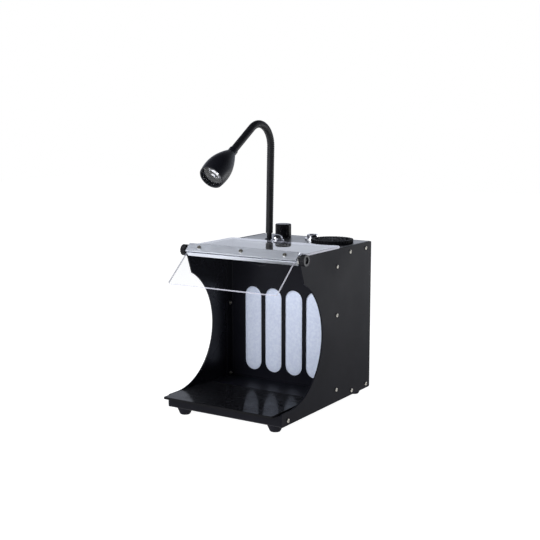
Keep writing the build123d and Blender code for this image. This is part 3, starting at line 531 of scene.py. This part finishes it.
def recess(u, v, radius):
    """How far a point of the head is sunk by the cross, whose arms lie along u and v."""
    slot = min(abs(u), abs(v))
    near, far = recess_wall
    sunk = 1 - smooth_step(slot, recess_arm * near, recess_arm * far)
    sunk *= 1 - smooth_step(radius, recess_reach * recess_end, recess_reach)
    return recess_depth * sunk


def screw_mesh(seat, out, spin, length):
    """Points and faces of a screw whose head lies on seat; spin turns its recess."""
    across = out.orthogonal().normalized()
    other = out.cross(across)
    points = []
    for ring in range(head_rings + 1):
        share = ring / head_rings
        radius = head_radius * min(1.0, head_spread * share)
        dome = head_height * (1 - dome_fall * share**3)
        for side in range(head_sides):
            angle = tau * side / head_sides
            rise = 0.0
            if ring < head_rings:
                rise = dome - recess(radius * cos(angle - spin), radius * sin(angle - spin), radius)
            points.append(
                seat + across * radius * cos(angle) + other * radius * sin(angle) + out * rise
            )
    faces = [(a, d, c, b) for a, b, c, d in tube_faces(head_rings + 1, head_sides)]
    shank_first = len(points)
    rows = int(length / thread_pitch * thread_rows)
    for row in range(rows + 1):
        gone = length * row / rows
        for side in range(thread_sides):
            share = side / thread_sides
            ridge = abs(((gone / thread_pitch + share) % 1.0) - 0.5) * 2
            radius = shank_radius - thread_depth * (1 - ridge)
            angle = tau * share
            points.append(
                seat + across * radius * cos(angle) + other * radius * sin(angle) - out * gone
            )
    faces += tube_faces(rows + 1, thread_sides, shank_first)
    tip = shank_first + rows * thread_sides
    faces.append([tip + side for side in range(thread_sides)])
    return points, faces


def solid_boxes(piece):
    """Lowest and highest corners of each separate solid of a CAD node."""
    mesh = piece.data
    owner = list(range(len(mesh.vertices)))

    def root(place):
        while owner[place] != place:
            owner[place] = owner[owner[place]]
            place = owner[place]
        return place

    seen = {}
    for vertex in mesh.vertices:
        key = tuple(round(c, 6) for c in vertex.co)
        owner[root(vertex.index)] = root(seen.setdefault(key, vertex.index))
    for edge in mesh.edges:
        owner[root(edge.vertices[0])] = root(edge.vertices[1])
    groups = {}
    for vertex in mesh.vertices:
        groups.setdefault(root(vertex.index), []).append(vertex.co)
    return [
        (
            Vector([min(c[axis] for c in group) for axis in range(3)]),
            Vector([max(c[axis] for c in group) for axis in range(3)]),
        )
        for group in groups.values()
    ]


def dress_screws(node, outward):
    """Puts domed, cross-recessed screws in the place of a CAD node's plain ones."""
    out = Vector(outward)
    points, faces = [], []
    for number, (low, high) in enumerate(solid_boxes(nodes[node])):
        whole = abs((high - low).dot(out))
        seat = (low + high) / 2 + out * (whole / 2 - head_height)
        more, rings = screw_mesh(seat, out, recess_turn * number, whole - head_height)
        faces += [[place + len(points) for place in ring] for ring in rings]
        points += more
    piece = new_piece(node + "_turned", points, faces, "screw_steel", "housing")
    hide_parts(node)


filter_cotton()
wound_arm()
dress_screws("right_side_screws", (1, 0, 0))
dress_screws("left_side_screws", (-1, 0, 0))
dress_screws("rear_screws", (0, 1, 0))
dress_screws("foot_screws", (0, 0, -1))


# Studio

overhead_span = (0.22, 0.7)
overhead_light = (1.0, 0.06)
bright_side = (-0.53, 0.83, 0.0)
around_span = (-0.2, 0.8)
around_light = (0.25, 0.92)
sky_color = (0.88, 0.93, 1.06, 1)
floor_reach = 4.0
floor_color = (0.5, 0.5, 0.5, 1)
floor_glow = 0.97
softbox_color = (0.95, 0.97, 1.0)
white_color = (1, 1, 1, 1)


def studio_world():
    """A studio that is bright low down at the rear left and dark overhead; the view sees white."""
    world = bpy.data.worlds.new("studio")
    scene.world = world
    world.use_nodes = True
    tree = world.node_tree
    tree.nodes.clear()
    place = tree.nodes.new("ShaderNodeTexCoord")
    parts = tree.nodes.new("ShaderNodeSeparateXYZ")
    tree.links.new(place.outputs["Generated"], parts.inputs["Vector"])
    overhead = ranged(tree, parts.outputs["Z"], *overhead_light, *overhead_span)
    sweep = vector_node(tree, "DOT_PRODUCT", place.outputs["Generated"], bright_side)
    around = ranged(tree, sweep.outputs["Value"], *around_light, *around_span)
    light = tree.nodes.new("ShaderNodeBackground")
    light.inputs["Color"].default_value = sky_color
    tree.links.new(math_node(tree, "MULTIPLY", overhead, around), light.inputs["Strength"])
    white = tree.nodes.new("ShaderNodeBackground")
    white.inputs["Color"].default_value = white_color
    path = tree.nodes.new("ShaderNodeLightPath")
    seen = path.outputs["Is Camera Ray"]
    sky = mixed(tree, seen, light.outputs["Background"], white.outputs["Background"])
    output = tree.nodes.new("ShaderNodeOutputWorld")
    tree.links.new(sky, output.inputs["Surface"])


def studio_floor():
    """A white floor that shows only a faint shadow under the object."""
    mesh = bpy.data.meshes.new("floor")
    corners = [(-1, -1), (1, -1), (1, 1), (-1, 1)]
    mesh.from_pydata([(x * floor_reach, y * floor_reach, 0) for x, y in corners], [], [(0, 1, 2, 3)])
    floor = bpy.data.objects.new("floor", mesh)
    scene.collection.objects.link(floor)
    material, tree, shader = new_material("floor_white")
    shader.inputs["Base Color"].default_value = floor_color
    shader.inputs["Roughness"].default_value = 1.0
    shader.inputs["Specular IOR Level"].default_value = 0.0
    shader.inputs["Emission Color"].default_value = white_color
    shader.inputs["Emission Strength"].default_value = floor_glow
    mesh.materials.append(material)


def softbox(name, place, target, width, height, power):
    data = bpy.data.lights.new(name, "AREA")
    data.shape = "RECTANGLE"
    data.size = width
    data.size_y = height
    data.energy = power
    data.color = softbox_color
    light = bpy.data.objects.new(name, data)
    light.location = place
    light.rotation_euler = (Vector(target) - Vector(place)).to_track_quat("-Z", "Y").to_euler()
    scene.collection.objects.link(light)


def camera():
    """The photo's view, from the front right and a little above."""
    data = bpy.data.cameras.new("camera")
    data.sensor_width = 36.0
    data.lens = 69.82
    view = bpy.data.objects.new("camera", data)
    view.location = (0.8462, -1.33075, 0.4564)
    view.rotation_euler = (radians(81.14), 0, radians(32.46))
    scene.collection.objects.link(view)
    scene.camera = view


studio_world()
studio_floor()
softbox("front", (-0.45, -2.1, 0.75), target=(0, 0, 0.12), width=1.3, height=0.9, power=18)
softbox("above_left", (-0.75, -0.85, 1.15), target=(0, -0.1, 0.2), width=0.7, height=0.7, power=11)
softbox("right_rear", (0.5, 0.62, 0.12), target=(0.1, 0.12, 0.12), width=0.35, height=0.35, power=1.2)
camera()
scene.view_settings.view_transform = "Standard"
